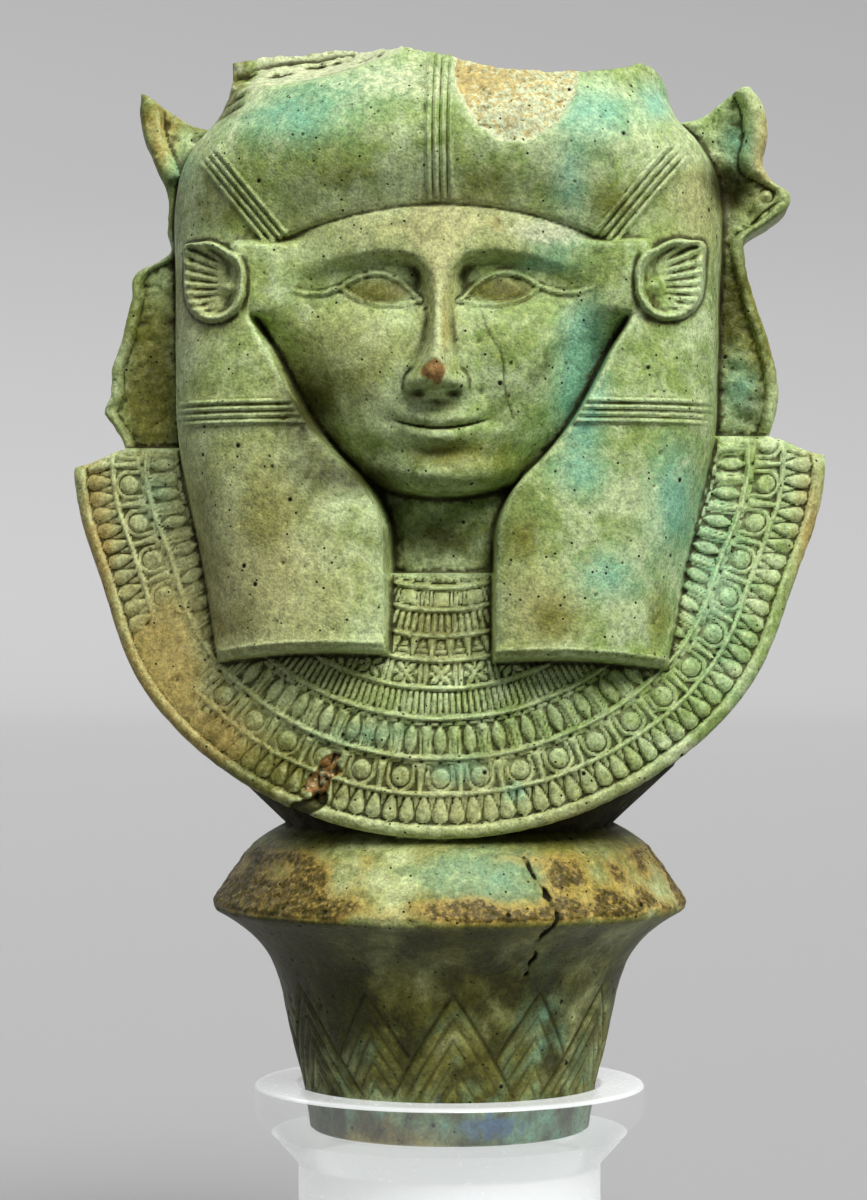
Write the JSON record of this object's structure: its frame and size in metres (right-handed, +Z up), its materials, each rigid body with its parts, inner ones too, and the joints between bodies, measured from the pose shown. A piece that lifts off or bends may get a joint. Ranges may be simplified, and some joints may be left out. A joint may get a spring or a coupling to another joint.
{
  "type": "hathor sistrum head on a cradle",
  "caption": "Head of an Egyptian temple rattle: goddess mask with cow ears, wig and broad collar on a papyrus capital, held in a clear round cup with stem and foot.",
  "frame": {"origin": "centre of the underside of the cradle's foot", "axes": "+Z up, the front face looks along -Y, +X is the viewer's right"},
  "size_m": [0.0848, 0.064, 0.1526],
  "materials": {
    "glazed_composition": "worn satin glaze, pitted",
    "clear_acrylic": "clear, polished, lightly scratched"
  },
  "bodies": {
    "root": {"hathor_sistrum_head": "glazed_composition", "acrylic_cradle": "clear_acrylic"}
  },
  "joints": []
}
